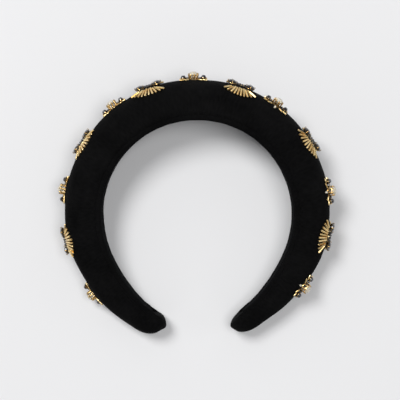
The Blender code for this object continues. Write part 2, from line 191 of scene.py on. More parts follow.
def bumpFrom(finish, heights, strength, distance):
    # several heights go through bumps in a chain
    last = None
    for height, share in heights:
        bump = nodeIn(finish, "ShaderNodeBump", Strength=strength * share, Distance=distance)
        link(finish, height, bump.inputs["Height"])
        if last:
            link(finish, last.outputs["Normal"], bump.inputs["Normal"])
        last = bump
    link(finish, last.outputs["Normal"], finish.node_tree.nodes["Principled BSDF"].inputs["Normal"])


def velvetFinish():
    finish = newFinish("blackVelvet", (0.005, 0.005, 0.0055), 0.92, {
        "Sheen Weight": 0.024, "Sheen Roughness": 0.35, "Sheen Tint": (0.6, 0.6, 0.62, 1.0),
        "Specular IOR Level": 0.04})
    pile = noiseOn(finish, 2600.0, 2.0)
    brushed = noiseOn(finish, 26.0, 4.0, (14.0, 1.0, 1.0), "UV")
    clouds = noiseOn(finish, 45.0, 2.0)
    both = nodeIn(finish, "ShaderNodeMath", operation="ADD")
    link(finish, brushed.outputs["Fac"], both.inputs[0])
    link(finish, clouds.outputs["Fac"], both.inputs[1])
    half = nodeIn(finish, "ShaderNodeMath", operation="MULTIPLY")
    half.inputs[1].default_value = 0.5
    link(finish, both.outputs[0], half.inputs[0])
    colourBetween(finish, half.outputs[0], (0.0016, 0.0016, 0.0017), (0.0048, 0.0047, 0.0049))
    bumpFrom(finish, [(pile.outputs["Fac"], 1.0), (brushed.outputs["Fac"], 0.4)], 0.5, 0.0002)
    return finish


def liningFinish():
    # a velvet ribbon: close cross ribs of the weave under a very short pile
    finish = newFinish("ribbonLining", (0.006, 0.006, 0.0065), 0.95, {
        "Sheen Weight": 0.006, "Sheen Roughness": 0.5, "Sheen Tint": (0.6, 0.6, 0.62, 1.0),
        "Specular IOR Level": 0.01})
    coords = nodeIn(finish, "ShaderNodeTexCoord")
    ribs = nodeIn(finish, "ShaderNodeTexWave", Scale=150.0, Distortion=0.4)
    link(finish, coords.outputs["UV"], ribs.inputs["Vector"])
    pile = noiseOn(finish, 3000.0, 2.0)
    colourBetween(finish, pile.outputs["Fac"], (0.004, 0.004, 0.0045), (0.009, 0.009, 0.0098))
    bumpFrom(finish, [(pile.outputs["Fac"], 0.8), (ribs.outputs["Fac"], 0.6)], 0.5, 0.00015)
    return finish


def goldFinish(name, low, high, roughness, scale, coat=0.0):
    finish = newFinish(name, high, roughness, {"Metallic": 1.0, "Coat Weight": coat, "Coat Roughness": 0.22})
    tone = noiseOn(finish, scale, 2.0)
    colourBetween(finish, tone.outputs["Fac"], low, high)
    scuffs = noiseOn(finish, scale * 6.0, 3.0)
    roughnessBetween(finish, scuffs.outputs["Fac"], roughness * 0.6, roughness * 1.6)
    bumpFrom(finish, [(scuffs.outputs["Fac"], 1.0)], 0.12, 0.00005)
    return finish


def jetFinish():
    finish = newFinish("jetGlass", (0.006, 0.006, 0.008), 0.05,
                       {"IOR": 1.6, "Coat Weight": 0.5, "Coat Roughness": 0.03})
    tone = noiseOn(finish, 900.0, 2.0)
    colourBetween(finish, tone.outputs["Fac"], (0.003, 0.003, 0.004), (0.014, 0.014, 0.018))
    roughnessBetween(finish, tone.outputs["Fac"], 0.03, 0.1)
    return finish


def crystalFinish():
    finish = newFinish("champagneCrystal", (0.93, 0.87, 0.72), 0.03, {
        "IOR": 1.58, "Transmission Weight": 0.55, "Coat Weight": 0.4, "Coat Roughness": 0.02})
    tone = noiseOn(finish, 500.0, 1.0)
    colourBetween(finish, tone.outputs["Fac"], (0.86, 0.78, 0.58), (0.98, 0.95, 0.86))
    roughnessBetween(finish, tone.outputs["Fac"], 0.01, 0.06)
    return finish


def feltFinish():
    finish = newFinish("backingFelt", (0.008, 0.008, 0.008), 0.95, {"Specular IOR Level": 0.1})
    fibres = noiseOn(finish, 1800.0, 5.0)
    colourBetween(finish, fibres.outputs["Fac"], (0.004, 0.004, 0.004), (0.014, 0.014, 0.014))
    bumpFrom(finish, [(fibres.outputs["Fac"], 1.0)], 0.6, 0.0002)
    return finish


def plasticFinish():
    finish = newFinish("corePlastic", (0.02, 0.02, 0.02), 0.45)
    grain = noiseOn(finish, 700.0, 3.0)
    roughnessBetween(finish, grain.outputs["Fac"], 0.35, 0.6)
    bumpFrom(finish, [(grain.outputs["Fac"], 1.0)], 0.2, 0.00005)
    return finish


finishes = {
    "velvet": velvetFinish(), "lining": liningFinish(), "felt": feltFinish(), "plastic": plasticFinish(),
    "bugle": goldFinish("goldBugle", (0.78, 0.5, 0.17), (1.0, 0.79, 0.4), 0.26, 260.0, 0.8),
    "setting": goldFinish("goldSetting", (0.42, 0.26, 0.09), (0.85, 0.6, 0.27), 0.18, 180.0),
    "jet": jetFinish(), "crystal": crystalFinish(),
}
print("finishes made")

# velvet cover
cover = {
    "stationPitch": 2.8, "around": 44, "slack": 0.45, "pressure": 4.0, "frames": 20, "mostMove": 0.7,
    "clothMass": 0.001, "stiffness": 1.0, "bending": 0.05, "shrink": -0.02, "softGlue": 0.35,
    "shortOf": 2.0, "tipRound": 11.0, "outerRound": 17.0, "tipPower": 2.4, "tipCentre": 0.25,
    "leftLegFuller": 2.1, "fullerPlace": -149.0, "fullerSpread": 17.0,
    "rightLegLeaner": 0.9, "leanerPlace": 128.0, "leanerSpread": 16.0,
    "wave": 0.22, "hemPucker": 0.16, "puckerPitch": 4.6,
    "tipSwell": 1.6, "swellPlace": 6.5, "swellSpread": 8.0, "leftTipInner": 1.9,
    "tipPleat": 0.3, "tipPleats": 5, "pleatLength": 9.0,
    "notchDepth": 0.9, "roll": 1.35, "rollLeft": 0.7, "rollRight": 0.35, "rollTurn": 37.0, "rollSpread": 8.5,
    "seamDepth": 0.3, "seamSpread": 4.0, "firstSeam": 54.0, "secondSeam": 80.0,
    "crease": 0.45, "creaseTurn": 86.0, "creaseSpread": 6.0,
}


def coverStations():
    straight = halfLength - cover["tipRound"]
    rounded = cover["tipRound"] - cover["shortOf"]
    count = int(straight / cover["stationPitch"])
    run = [straight * i / count for i in range(count + 1)]
    run += [straight + rounded * math.sin(math.pi / 2 * i / 7) for i in range(1, 8)]
    return [-s for s in reversed(run[1:])] + run


def tipScale(s, length):
    past = (abs(s) - halfLength + length) / (length - cover["shortOf"])
    return 1.0 if past <= 0 else max(math.sqrt(max(1.0 - past ** cover["tipPower"], 0.0)), 0.1)


def coverCage(trim):
    # a closed tube of quads from tip to tip, with (run, turn) kept in its UV map
    bm = bmesh.new()
    uvLayer = bm.loops.layers.uv.new("bandUV")
    stations = coverStations()
    around = cover["around"]
    rings = []
    for s in stations:
        scaleZ, scaleN = tipScale(s, cover["tipRound"]), tipScale(s, cover["outerRound"])
        centre = band["innerFace"] + cover["tipCentre"] * (bandDepth(s) - band["innerFace"])
        ring = []
        for i in range(around):
            z, n = sectionPoint(s, 2.0 * math.pi * i / around - math.pi / 2, trim)
            ring.append(bm.verts.new(place(s, z * scaleZ, centre + (n - centre) * scaleN)))
        rings.append(ring)
    for k in range(len(rings) - 1):
        for i in range(around):
            j = (i + 1) % around
            face = bm.faces.new((rings[k][i], rings[k + 1][i], rings[k + 1][j], rings[k][j]))
            corners = ((k, i), (k + 1, i), (k + 1, i + 1), (k, i + 1))
            for loop, (row, column) in zip(face.loops, corners):
                loop[uvLayer].uv = (0.5 + stations[row] / (2.0 * halfLength), column / around)
    for k in (0, len(rings) - 1):
        pole = bm.verts.new(sum((v.co for v in rings[k]), Vector()) / around)
        for i in range(around):
            j = (i + 1) % around
            corners = (pole, rings[k][i], rings[k][j]) if k == 0 else (pole, rings[k][j], rings[k][i])
            face = bm.faces.new(corners)
            for loop, column in zip(face.loops, (i, i, j) if k == 0 else (i, j, i)):
                loop[uvLayer].uv = (0.5 + stations[k] / (2.0 * halfLength), column / around)
    bmesh.ops.recalc_face_normals(bm, faces=bm.faces)
    return newObject("velvetCover", meshFrom("velvetCover", bm))


def glueWeight(column):
    # firm along the inner face, softer beside it, free everywhere else
    around = cover["around"]
    fromInner = min(column, around - column)
    eighth = around // 8
    if fromInner <= eighth - 1:
        return 1.0
    return cover["softGlue"] if fromInner <= eighth + 1 else 0.0


def puffCover(obj):
    # pressure fills the slack velvet; no point may move further than mostMove
    group = obj.vertex_groups.new(name="glued")
    for index in range(len(obj.data.vertices) - 2):
        group.add([index], glueWeight(index % cover["around"]), "REPLACE")
    start = np.array([v.co[:] for v in obj.data.vertices])
    cloth = obj.modifiers.new("puff", "CLOTH")
    cloth.settings.quality = 5
    cloth.settings.mass = cover["clothMass"]
    cloth.settings.tension_stiffness = cover["stiffness"]
    cloth.settings.compression_stiffness = cover["stiffness"]
    cloth.settings.bending_stiffness = cover["bending"]
    cloth.settings.shrink_min = cover["shrink"]
    cloth.settings.shrink_max = cover["shrink"]
    cloth.settings.use_pressure = True
    cloth.settings.uniform_pressure_force = cover["pressure"]
    cloth.settings.vertex_group_mass = "glued"
    cloth.settings.effector_weights.gravity = 0.0
    cloth.point_cache.frame_start = 1
    cloth.point_cache.frame_end = cover["frames"]
    for step in range(1, cover["frames"] + 1):
        bpy.context.scene.frame_set(step)
    frozen(obj)
    bpy.context.scene.frame_set(1)
    most = cover["mostMove"] * mm
    for vert, before in zip(obj.data.vertices, start):
        move = vert.co - Vector(before)
        vert.co = Vector(before) + move.normalized() * most * math.tanh(move.length / most)
    obj.vertex_groups.clear()


def bellAt(s, centre, spread):
    return math.exp(-((s - centre) / spread) ** 2)


def easeIn(value, start, end):
    share = min(max((value - start) / (end - start), 0.0), 1.0)
    return share * share * (3.0 - 2.0 * share)


def paddingMove(s, turn):
    # uneven filling, fuller on one leg than on the other
    outer = max(math.sin(turn), 0.0)
    move = cover["wave"] * outer * (math.sin(s / 11.3 + 1.1) * math.cos(2.0 * turn)
                                    + 0.6 * math.sin(s / 4.9 + 3.0 * turn))
    move += outer * cover["leftLegFuller"] * bellAt(s, cover["fullerPlace"], cover["fullerSpread"])
    return move - outer * cover["rightLegLeaner"] * bellAt(s, cover["leanerPlace"], cover["leanerSpread"])


def hemMove(s, fromInner):
    # the velvet rolls in beside the lining; past it come the seam, a fold, a crease and puckers
    roll = cover["roll"] + cover["rollLeft"] * bellAt(s, -99.0, 17.0)
    roll += cover["rollRight"] * easeIn(s, 5.0, 20.0) * (1.0 - easeIn(s, 72.0, 90.0))
    move = roll * bellAt(fromInner, cover["rollTurn"], cover["rollSpread"])
    seam = cover["seamDepth"] * (0.55 + 0.45 * easeIn(s, -30.0, 20.0))
    seamAt = cover["firstSeam"] + 1.5 * math.sin(s / 17.0)
    move -= seam * bellAt(fromInner, seamAt, cover["seamSpread"])
    fold = cover["seamDepth"] * 0.8 * easeIn(s, 4.0, 30.0) * (1.0 - easeIn(s, 120.0, 150.0))
    foldAt = cover["secondSeam"] + 3.0 * math.sin(s / 23.0)
    move -= fold * bellAt(fromInner, foldAt, cover["seamSpread"] * 1.3)
    crease = cover["crease"] * easeIn(-s, 62.0, 84.0)
    creaseAt = cover["creaseTurn"] + 4.0 * math.sin(s / 19.0)
    move += crease * bellAt(fromInner, creaseAt, cover["creaseSpread"])
    pucker = math.sin(2.0 * math.pi * s / cover["puckerPitch"] + 0.9 * math.sin(s / 7.0))
    return move + cover["hemPucker"] * bellAt(fromInner, 62.0, 16.0) * pucker


def tipMove(s, turn, fromInner):
    # plump rounded ends with a few small gathers, clear of the lining's strip
    clear = max(easeIn(fromInner, 18.0, 34.0), easeIn(abs(s), halfLength - 12.0, halfLength - 8.0))
    move = cover["tipSwell"] * clear * bellAt(abs(s), halfLength - cover["swellPlace"], cover["swellSpread"])
    if s < 0:
        nearTip = bellAt(s, 5.5 - halfLength, 5.0) * bellAt(fromInner, 0.0, 80.0)
        move += cover["leftTipInner"] * clear * nearTip
    gather = max(abs(s) - halfLength + cover["pleatLength"], 0.0) / cover["pleatLength"]
    pleat = math.cos(cover["tipPleats"] * turn + (0.4 if s < 0 else 1.3))
    move -= cover["tipPleat"] * gather ** 1.4 * max(pleat, -0.2)
    if s < 0:
        move -= cover["notchDepth"] * gather ** 2 * bellAt(math.degrees(turn), 20.0, 16.0)
    return move


def dressCover(obj):
    obj.modifiers.new("finer", "SUBSURF").levels = 2
    frozen(obj)
    mesh = obj.data
    runs = np.zeros(len(mesh.vertices))
    turns = np.zeros(len(mesh.vertices))
    for loop, uv in zip(mesh.loops, mesh.uv_layers["bandUV"].data):
        runs[loop.vertex_index] = (uv.uv[0] - 0.5) * 2.0 * halfLength
        turns[loop.vertex_index] = (uv.uv[1] % 1.0) * 2.0 * math.pi - math.pi / 2
    normals = [v.normal.copy() for v in mesh.vertices]
    for vert, normal, s, turn in zip(mesh.vertices, normals, runs, turns):
        fromInner = math.degrees(turn) + 90.0
        fromInner = min(fromInner, 360.0 - fromInner)
        beforeTip = 1.0 - easeIn(abs(s), halfLength - 16.0, halfLength - 6.0)
        move = paddingMove(s, turn) + hemMove(s, fromInner) * beforeTip
        vert.co += normal * (move + tipMove(s, turn, fromInner)) * mm
        vert.co.z = max(vert.co.z, 0.05 * mm)
    mesh.update()


velvetCover = coverCage(cover["slack"])
puffCover(velvetCover)
dressCover(velvetCover)
shade(velvetCover, 80.0)
setFinish(velvetCover, finishes["velvet"])
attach(velvetCover, "root")
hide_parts("velvet_cover", "foam_pad")
coverTree = BVHTree.FromObject(velvetCover, bpy.context.evaluated_depsgraph_get())
print("velvet cover padded and dressed")

# lining and core
lining = {
    "share": 0.30, "shortOf": 12.5, "pitch": 2.4, "across": 12, "selvedge": 0.25,
    "velvetFace": 1.05, "ripple": 0.04,
}


def makeLining():
    end = halfLength - lining["shortOf"]
    count = int(2.0 * end / lining["pitch"])
    bm = bmesh.new()
    uvLayer = bm.loops.layers.uv.new("ribbonUV")
    rows = []
    for k in range(count + 1):
        s = -end + 2.0 * end * k / count
        roundOff = math.sqrt(max(1.0 - max((abs(s) - end + 5.0) / 5.0, 0.0) ** 2.5, 0.09))
        half = lining["share"] * bandWidth(s) * roundOff
        row = []
        for i in range(lining["across"] + 1):
            share = 2.0 * i / lining["across"] - 1.0
            edge = lining["selvedge"] * max(abs(share) - 0.84, 0.0) / 0.16
            face = edge - lining["ripple"] * math.sin(s / 1.9 + 3.0 * share)
            z = half * share * (1.0 + 0.006 * math.sin(s / 3.1))
            row.append((bm.verts.new(place(s, z, face)),
                        bm.verts.new(place(s, z, lining["velvetFace"]))))
        rows.append(row)
    last = lining["across"]

    def quad(*places):
        face = bm.faces.new([rows[k][i][side] for k, i, side in places])
        for loop, (k, i, side) in zip(face.loops, places):
            loop[uvLayer].uv = (k / count, i / last * 0.1)

    for k in range(count):
        for i in range(last):
            quad((k, i, 0), (k + 1, i, 0), (k + 1, i + 1, 0), (k, i + 1, 0))
            quad((k, i + 1, 1), (k + 1, i + 1, 1), (k + 1, i, 1), (k, i, 1))
        quad((k, 0, 1), (k + 1, 0, 1), (k + 1, 0, 0), (k, 0, 0))
        quad((k, last, 0), (k + 1, last, 0), (k + 1, last, 1), (k, last, 1))
    for i in range(last):
        quad((0, i, 1), (0, i, 0), (0, i + 1, 0), (0, i + 1, 1))
        quad((count, i, 0), (count, i, 1), (count, i + 1, 1), (count, i + 1, 0))
    bmesh.ops.recalc_face_normals(bm, faces=bm.faces)
    obj = newObject("innerLining", meshFrom("innerLining", bm))
    shade(obj, 50.0)
    return obj


innerLining = makeLining()
setFinish(innerLining, finishes["lining"])
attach(innerLining, "root")
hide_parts("inner_lining")
setFinish(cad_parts["spring_core"], finishes["plastic"])
print("lining laid")

# places on the velvet
def stationAt(angle):
    runs = np.linspace(-halfLength, halfLength, 401)
    crests = [onPath(s)[0] + onPath(s)[1] * bandDepth(s) for s in runs]
    return float(np.interp(angle, [math.degrees(math.atan2(c.x, c.y)) for c in crests], runs))


def onVelvet(s, v):
    # point and outward normal on the velvet, v millimetres across from the crest
    turns = [math.pi / 2 - math.copysign(1.5, v) * i / 60 for i in range(61)]
    points = [sectionPoint(s, turn) for turn in turns]
    runs = [0.0]
    for (z0, n0), (z1, n1) in zip(points, points[1:]):
        runs.append(runs[-1] + math.hypot(z1 - z0, n1 - n0))
    zs, ns = [p[0] for p in points], [p[1] for p in points]
    z, n = float(np.interp(abs(v), runs, zs)), float(np.interp(abs(v), runs, ns))
    dz = float(np.interp(abs(v) + 0.6, runs, zs)) - float(np.interp(max(abs(v) - 0.6, 0.0), runs, zs))
    dn = float(np.interp(abs(v) + 0.6, runs, ns)) - float(np.interp(max(abs(v) - 0.6, 0.0), runs, ns))
    here, ahead = place(s, z, n), place(s + 0.5, z, n + bandDepth(s + 0.5) - bandDepth(s))
    across = place(s, z + abs(dz), n + (dn if v >= 0 else -dn)) - here
    normal = across.cross(ahead - here).normalized()
    hit = coverTree.ray_cast(here + normal * 6.0 * mm, -normal, 12.0 * mm)[0]
    return (hit or here), normal


def motifPlace(spot, u, v):
    # spot is (s, across, turn); u and v are the motif's own axes on the velvet
    s, across, turn = spot
    bend = band["innerRadius"] if abs(s) < crownArc else band["legRadius"]
    turnedU = u * math.cos(turn) + v * math.sin(turn)
    turnedV = v * math.cos(turn) - u * math.sin(turn)
    return onVelvet(s - turnedU * bend / (bend + bandDepth(s)), across + turnedV)


def motifFrame(spot):
    # U along the band, V across it, W out of the velvet, as columns of a matrix
    origin, out = motifPlace(spot, 0.0, 0.0)
    along = motifPlace(spot, 1.5, 0.0)[0] - motifPlace(spot, -1.5, 0.0)[0]
    along = (along - out * along.dot(out)).normalized()
    across = out.cross(along)
    turn = Matrix((along, across, out)).transposed().to_4x4()
    return Matrix.Translation(origin) @ turn


def spotAt(angle, across, turn):
    return stationAt(angle), across, math.radians(turn)


# beads and stones
def turnedMesh(name, profile, sides, closed=False):
    # profile of (radius, height) spun round the axis; closed joins its end to its start
    bm = bmesh.new()
    rings = []
    for radius, height in profile:
        ring = [bm.verts.new((radius * math.cos(2.0 * math.pi * i / sides) * mm,
                              radius * math.sin(2.0 * math.pi * i / sides) * mm, height * mm))
                for i in range(sides)]
        rings.append(ring)
    pairs = list(zip(rings, rings[1:])) + ([(rings[-1], rings[0])] if closed else [])
    for low, high in pairs:
        for i in range(sides):
            j = (i + 1) % sides
            bm.faces.new((low[i], low[j], high[j], high[i]))
    if not closed:
        bm.faces.new(list(reversed(rings[0])))
        bm.faces.new(rings[-1])
    bmesh.ops.recalc_face_normals(bm, faces=bm.faces)
    return meshFrom(name, bm)


def bugleShape(length, radius):
    bore = radius * 0.42
    end = length / 2.0
    profile = [(bore, -end), (radius * 0.82, -end), (radius, -end + 0.14), (radius, end - 0.14),
               (radius * 0.82, end), (bore, end)]
    mesh = turnedMesh("bugleShape", profile, 10, closed=True)
    return newObject("bugleShape", mesh)


def roundBeadShape(radius, hole=0.22):
    # a rocaille bead, flattened at the ends of its hole
    profile = [(radius * hole, -radius * 0.62)]
    for i in range(7):
        turn = math.radians(-60.0 + 20.0 * i)
        profile.append((radius * (0.18 + 0.82 * math.cos(turn)), radius * 0.78 * math.sin(turn)))
    profile.append((radius * hole, radius * 0.62))
    return newObject("roundBeadShape", turnedMesh("roundBeadShape", profile, 12, closed=True))


def stoneShape(name, radius, crown=0.36, pavilion=0.5, girdle=0.04):
    # a chaton cut: table, star and kite facets, girdle, and a pointed pavilion
    bm = bmesh.new()

    def ring(count, share, height, offset=0.0):
        for i in range(count):
            turn = 2.0 * math.pi * (i + offset) / count
            bm.verts.new((radius * share * math.cos(turn) * mm, radius * share * math.sin(turn) * mm,
                          radius * height * mm))

    ring(8, 0.52, crown)
    ring(8, 0.79, crown * 0.62, 0.5)
    ring(16, 1.0, 0.05)
    ring(16, 1.0, -girdle)
    ring(8, 0.45, -girdle - (pavilion - girdle) * 0.62)
    bm.verts.new((0.0, 0.0, -radius * pavilion * mm))
    bmesh.ops.convex_hull(bm, input=bm.verts)
    bmesh.ops.dissolve_limit(bm, angle_limit=math.radians(1.0), verts=bm.verts, edges=bm.edges)
    bmesh.ops.recalc_face_normals(bm, faces=bm.faces)
    return meshFrom(name, bm)


def prongShape(route, widths):
    # one flat prong along a route of (radius, height), with its half width at each place
    bm = bmesh.new()
    rings = []
    for (r, h), half in zip(route, widths):
        thick = half * 0.6
        ring = [bm.verts.new(((r + thick * math.cos(t)) * mm, half * math.sin(t) * mm,
                              (h + 0.35 * thick * math.cos(t)) * mm))
                for t in [2.0 * math.pi * i / 8 for i in range(8)]]
        rings.append(ring)
    for low, high in zip(rings, rings[1:]):
        for i in range(8):
            j = (i + 1) % 8
            bm.faces.new((low[i], low[j], high[j], high[i]))
    bm.faces.new(list(reversed(rings[0])))
    bm.faces.new(rings[-1])
    bmesh.ops.recalc_face_normals(bm, faces=bm.faces)
    return newObject("prongShape", meshFrom("prongShape", bm))


def clawShape(radius, height):
    # one claw: up the cup's wall and bent in over the stone's edge
    lip = radius + 0.22
    route = [(lip * 0.7, 0.0), (lip * 0.88, height * 0.45), (lip + 0.05, height * 0.86),
             (lip + 0.1, height + 0.18), (lip - 0.12, height + 0.55), (lip - 0.7, height + 0.78)]
    return prongShape(route, [0.42, 0.4, 0.36, 0.33, 0.3, 0.2])


def cupMesh(radius, height):
    # thin flared wall with a rolled lip and a dished seat
    lip = radius + 0.28
    profile = [(lip * 0.5, 0.0), (lip * 0.62, 0.1), (lip * 0.8, height * 0.5), (lip, height - 0.1),
               (lip + 0.12, height), (lip + 0.06, height + 0.12), (lip - 0.1, height + 0.08),
               (lip * 0.72, height * 0.45), (lip * 0.3, height * 0.3)]
    return turnedMesh("cup", profile, 24)


# geometry node trees
def newTree(name, sockets):
    tree = bpy.data.node_groups.new(name, "GeometryNodeTree")
    tree.interface.new_socket("Geometry", in_out="OUTPUT", socket_type="NodeSocketGeometry")
    tree.interface.new_socket("Geometry", in_out="INPUT", socket_type="NodeSocketGeometry")
    for label, kind in sockets:
        tree.interface.new_socket(label, in_out="INPUT", socket_type="NodeSocket" + kind)
    return tree, tree.nodes.new("NodeGroupInput"), tree.nodes.new("NodeGroupOutput")


def treeNode(tree, kind, links=None, **settings):
    node = tree.nodes.new(kind)
    for key, value in settings.items():
        setattr(node, key, value)
    for socket, source in (links or {}).items():
        target = node.inputs[socket]
        if hasattr(source, "links"):
            tree.links.new(source, target)
        else:
            target.default_value = source
    return node


def finishTree(tree, geometry, material, groupOut):
    real = treeNode(tree, "GeometryNodeRealizeInstances", {"Geometry": geometry})
    painted = treeNode(tree, "GeometryNodeSetMaterial", {"Geometry": real.outputs[0], "Material": material})
    tree.links.new(painted.outputs[0], groupOut.inputs[0])


def sewnBeadsTree():
    # sets one bead on each vertex, along its "aim", sized by "stretch", with a little play
    tree, start, end = newTree("sewnBeads", [("Bead", "Object"), ("Finish", "Material"),
                                             ("Size play", "Float"), ("Seed", "Int")])
    aim = treeNode(tree, "GeometryNodeInputNamedAttribute", {"Name": "aim"}, data_type="FLOAT_VECTOR")
    stretch = treeNode(tree, "GeometryNodeInputNamedAttribute", {"Name": "stretch"}, data_type="FLOAT")
    turned = treeNode(tree, "FunctionNodeAlignRotationToVector", {"Vector": aim.outputs[0]}, axis="Z")
    spin = treeNode(tree, "FunctionNodeRandomValue", {"Seed": start.outputs["Seed"]}, data_type="FLOAT")
    spin.inputs[2].default_value = 0.0
    spin.inputs[3].default_value = 6.283
    roll = treeNode(tree, "FunctionNodeAxisAngleToRotation", {"Angle": spin.outputs[1]})
    both = treeNode(tree, "FunctionNodeRotateRotation", {"Rotation": turned.outputs[0],
                                                          "Rotate By": roll.outputs[0]},
                    rotation_space="LOCAL")
    play = treeNode(tree, "FunctionNodeRandomValue", {"Seed": start.outputs["Seed"]}, data_type="FLOAT")
    play.inputs[2].default_value = -1.0
    play.inputs[3].default_value = 1.0
    scaled = treeNode(tree, "ShaderNodeMath", {0: play.outputs[1], 1: start.outputs["Size play"], 2: 1.0},
                      operation="MULTIPLY_ADD")
    longer = treeNode(tree, "ShaderNodeMath", {0: stretch.outputs[0], 1: scaled.outputs[0]},
                      operation="MULTIPLY")
    size = treeNode(tree, "ShaderNodeCombineXYZ", {"X": scaled.outputs[0], "Y": scaled.outputs[0],
                                                   "Z": longer.outputs[0]})
    bead = treeNode(tree, "GeometryNodeObjectInfo", {"Object": start.outputs["Bead"]})
    points = treeNode(tree, "GeometryNodeMeshToPoints", {"Mesh": start.outputs["Geometry"]})
    placed = treeNode(tree, "GeometryNodeInstanceOnPoints",
                      {"Points": points.outputs[0], "Instance": bead.outputs["Geometry"],
                       "Rotation": both.outputs[0], "Scale": size.outputs[0]})
    finishTree(tree, placed.outputs[0], start.outputs["Finish"], end)
    return tree


def clawsTree():
    # claws evenly round a cup
    tree, start, end = newTree("clawsRoundCup", [("Claw", "Object"), ("Finish", "Material"),
                                                 ("Count", "Int"), ("First turn", "Float")])
    points = treeNode(tree, "GeometryNodePoints", {"Count": start.outputs["Count"]})
    index = treeNode(tree, "GeometryNodeInputIndex")
    share = treeNode(tree, "ShaderNodeMath", {0: index.outputs[0], 1: start.outputs["Count"]},
                     operation="DIVIDE")
    turn = treeNode(tree, "ShaderNodeMath", {0: share.outputs[0], 1: 2.0 * math.pi,
                                             2: start.outputs["First turn"]}, operation="MULTIPLY_ADD")
    angle = treeNode(tree, "FunctionNodeAxisAngleToRotation", {"Angle": turn.outputs[0]})
    claw = treeNode(tree, "GeometryNodeObjectInfo", {"Object": start.outputs["Claw"]})
    placed = treeNode(tree, "GeometryNodeInstanceOnPoints",
                      {"Points": points.outputs[0], "Instance": claw.outputs["Geometry"],
                       "Rotation": angle.outputs[0]})
    joined = treeNode(tree, "GeometryNodeJoinGeometry")
    tree.links.new(start.outputs["Geometry"], joined.inputs[0])
    tree.links.new(placed.outputs[0], joined.inputs[0])
    finishTree(tree, joined.outputs[0], start.outputs["Finish"], end)
    return tree


def growOn(obj, tree, values):
    modifier = obj.modifiers.new(tree.name, "NODES")
    modifier.node_group = tree
    for item in tree.interface.items_tree:
        if item.item_type == "SOCKET" and item.in_out == "INPUT" and item.name in values:
            modifier[item.identifier] = values[item.name]
    return frozen(obj)


beadTree = sewnBeadsTree()
clawTree = clawsTree()


def sewBeads(name, spots, bead, finish, play=0.04, seed=1):
    # spots is a list of (point, aim, stretch)
    mesh = bpy.data.meshes.new(name)
    mesh.from_pydata([spot[0][:] for spot in spots], [], [])
    mesh.attributes.new("aim", "FLOAT_VECTOR", "POINT")
    mesh.attributes.new("stretch", "FLOAT", "POINT")
    for i, (_, direction, length) in enumerate(spots):
        mesh.attributes["aim"].data[i].vector = direction
        mesh.attributes["stretch"].data[i].value = length
    obj = newObject(name, mesh)
    growOn(obj, beadTree, {"Bead": bead, "Finish": finish, "Size play": play, "Seed": seed})
    setFinish(obj, finish)
    shade(obj, 35.0)
    return obj


def joinMeshes(name, parts):
    # parts is a list of (mesh, matrix)
    bm = bmesh.new()
    for mesh, matrix in parts:
        copy = mesh.copy()
        copy.transform(matrix)
        bm.from_mesh(copy)
        bpy.data.meshes.remove(copy)
    return newObject(name, meshFrom(name, bm))


def clawCup(radius, height, clawHeight, count, firstTurn):
    claw = clawShape(radius, clawHeight)
    cup = newObject("clawCup", cupMesh(radius, height))
    growOn(cup, clawTree, {"Claw": claw, "Finish": finishes["setting"], "Count": count,
                           "First turn": firstTurn})
    mesh = cup.data
    bpy.data.objects.remove(cup)
    bpy.data.objects.remove(claw)
    return mesh


def finishPiece(obj, finish, slotName, *nodes):
    setFinish(obj, finish)
    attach(obj, "root")
    if nodes:
        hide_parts(*nodes)


def backingMesh(name, spot, halfU, halfV, thickness):
    # an oval of felt that follows the velvet
    bm = bmesh.new()
    rings = []
    sheet = [(share, 0.1) for share in (0.0, 0.5, 1.0)]
    sheet += [(share, thickness) for share in (1.0, 0.5, 0.0)]
    for share, height in sheet:
        ring = []
        for i in range(24 if share else 1):
            turn = 2.0 * math.pi * i / 24
            point, out = motifPlace(spot, halfU * share * math.cos(turn), halfV * share * math.sin(turn))
            ring.append(bm.verts.new(point + out * height * mm))
        rings.append(ring)
    for low, high in zip(rings, rings[1:]):
        for i in range(24):
            j = (i + 1) % 24
            corners = [low[i % len(low)], low[j % len(low)], high[j % len(high)], high[i % len(high)]]
            bm.faces.new(list(dict.fromkeys(corners)))
    bmesh.ops.recalc_face_normals(bm, faces=bm.faces)
    return newObject(name, meshFrom(name, bm))


def beadBetween(spot, start, end, length):
    # a straight bead between two places over the velvet, each (u, v, height)
    near, outNear = motifPlace(spot, start[0], start[1])
    far, outFar = motifPlace(spot, end[0], end[1])
    near = near + outNear * start[2] * mm
    far = far + outFar * end[2] * mm
    return (near + far) / 2.0, (far - near).normalized(), (far - near).length / (length * mm)


# sunbursts
sunburst = {
    "places": ((-100.8, 0.8, 0.0), (-57.2, 2.4, 0.0), (-20.6, 6.1, 14.0),
               (18.3, 8.2, -4.0), (56.0, 5.2, -4.0), (98.8, 4.1, 0.0)),
    "rays": 10, "rootHalf": 6.2, "rootOut": 3.5, "rootFlare": 0.2, "rootLift": 1.05, "rootStep": 0.3,
    "tipHalf": 11.7, "tipOut": 9.4, "tipRound": 0.86, "tipLift": 0.72, "lowerShare": (0.78, 0.92),
    "rayRadius": 0.62, "rayPlay": 0.3,
    "stoneOffset": 5.6, "stoneRadius": 2.55, "stoneGirdle": 0.36, "stoneRise": 0.55,
    "cupBase": 0.8, "cupHeight": 1.0, "clawHeight": 1.65, "cupLean": 3.0,
    "beadRadius": 0.98, "beadPitch": 1.55, "beads": 4, "beadLift": 1.75,
    "backing": (7.6, 5.6), "backingThickness": 0.5,
}


